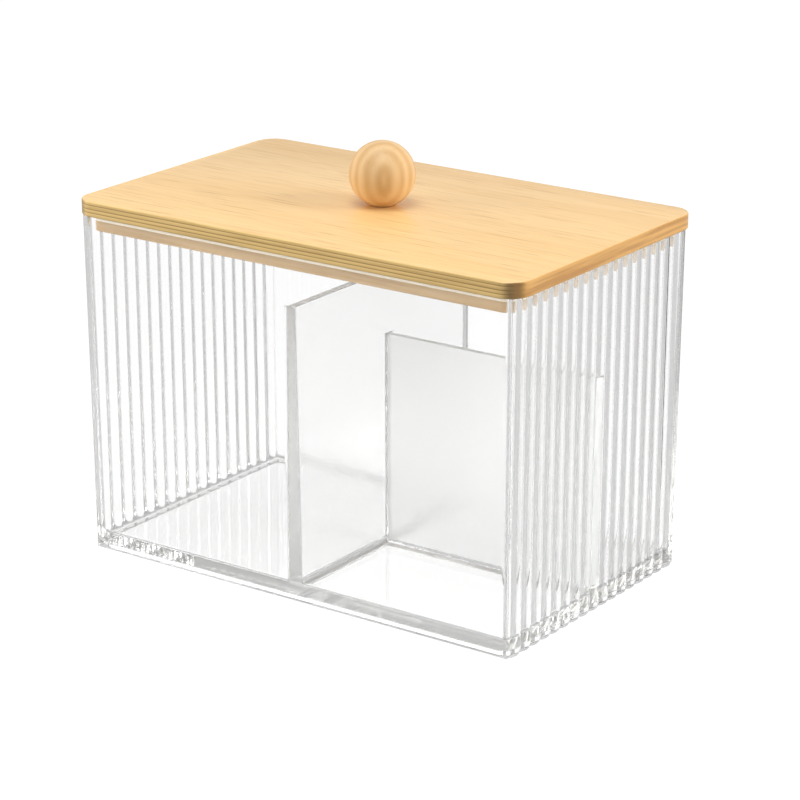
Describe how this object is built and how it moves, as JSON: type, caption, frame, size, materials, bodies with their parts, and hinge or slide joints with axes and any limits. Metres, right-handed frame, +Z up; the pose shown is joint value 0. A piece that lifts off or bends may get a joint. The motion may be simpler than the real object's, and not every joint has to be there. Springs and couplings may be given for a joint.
{
  "type": "makeup organizer",
  "caption": "Clear rectangular counter box with reeded ends and upright dividers inside, under a lift-off bamboo lid with a turned wooden ball knob.",
  "frame": {"origin": "middle of the footprint, on the surface that the box stands on", "axes": "+X along the length towards the side with two compartments, +Y from the smooth front to the back, +Z up"},
  "size_m": [0.182, 0.1106, 0.1496],
  "materials": {
    "clear_plastic": "clear moulded styrene, polished",
    "bamboo": "laminated bamboo board, sanded and lacquered satin",
    "turned_wood": "pale turned wood, sanded and lacquered satin",
    "screw_steel": "zinc plated"
  },
  "bodies": {
    "root": {"box": "clear_plastic", "lid": "bamboo", "knob": "turned_wood", "knob_screw": "screw_steel"}
  },
  "joints": []
}
